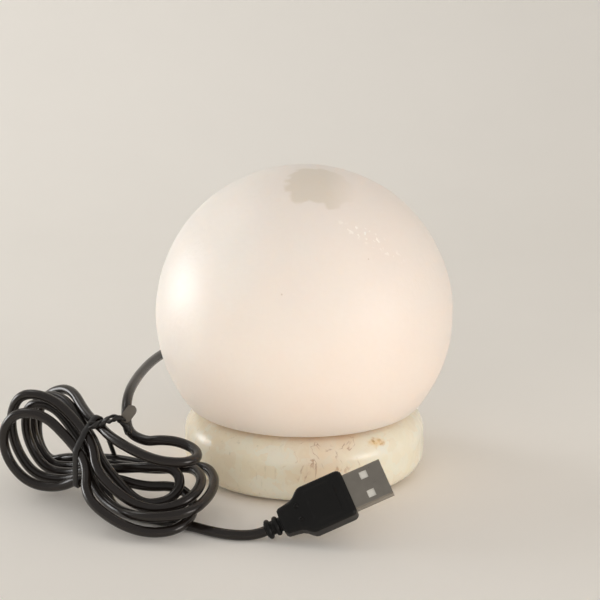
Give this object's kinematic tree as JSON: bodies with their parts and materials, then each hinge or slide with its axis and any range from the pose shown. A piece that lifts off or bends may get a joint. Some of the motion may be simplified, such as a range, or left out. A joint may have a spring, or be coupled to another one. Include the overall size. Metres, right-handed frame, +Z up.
{
  "type": "salt lamp",
  "caption": "White salt ball lamp on a rounded stone base, lit from inside, with a captive black cord tied in a bundle and a USB plug.",
  "frame": {"origin": "on the floor under the middle of the round base", "axes": "+Z up, -Y towards the front that the picture shows, +X to the right of it"},
  "size_m": [0.1507, 0.1428, 0.1052],
  "materials": {
    "salt": "polished milky white salt",
    "onyx": "polished cream onyx with brown veins",
    "felt": "black felt",
    "black_plastic": "matte",
    "steel": "zinc plated",
    "white_plastic": "matte",
    "board": "white solder mask",
    "led": "phosphor gel in a white case",
    "resistor": "matte",
    "frosted": "frosted",
    "black_pvc": "satin",
    "nylon": "natural nylon",
    "red_wire": "satin",
    "black_wire": "satin",
    "tie": "satin flat tie",
    "plug_steel": "nickel plated",
    "tongue": "natural white",
    "contact": "gold flashed"
  },
  "bodies": {
    "base": {"stone_base": "onyx", "felt_pad": "felt", "bottom_cover": "black_plastic", "cover_screws": "steel", "led_holder": "white_plastic", "led_board": "board", "led_chips": "led", "board_resistors": "resistor", "board_screws": "steel", "diffuser_dome": "frosted", "cord_grommet": "black_pvc", "cord_inner": "black_pvc", "strain_tie": "nylon", "wire_positive": "red_wire", "wire_negative": "black_wire", "cord_lead": "black_pvc", "cord_hank": "black_pvc", "cord_tail": "black_pvc", "twist_tie": "tie", "plug_body": "black_pvc", "plug_shell": "plug_steel", "plug_tongue": "tongue", "plug_contacts": "contact"},
    "ball": {"salt_ball": "salt"}
  },
  "joints": [
    {"name": "ball_lift", "type": "slide", "parent": "base", "child": "ball", "axis": [0, 0, 1], "range_m": [0, 0.08]}
  ]
}
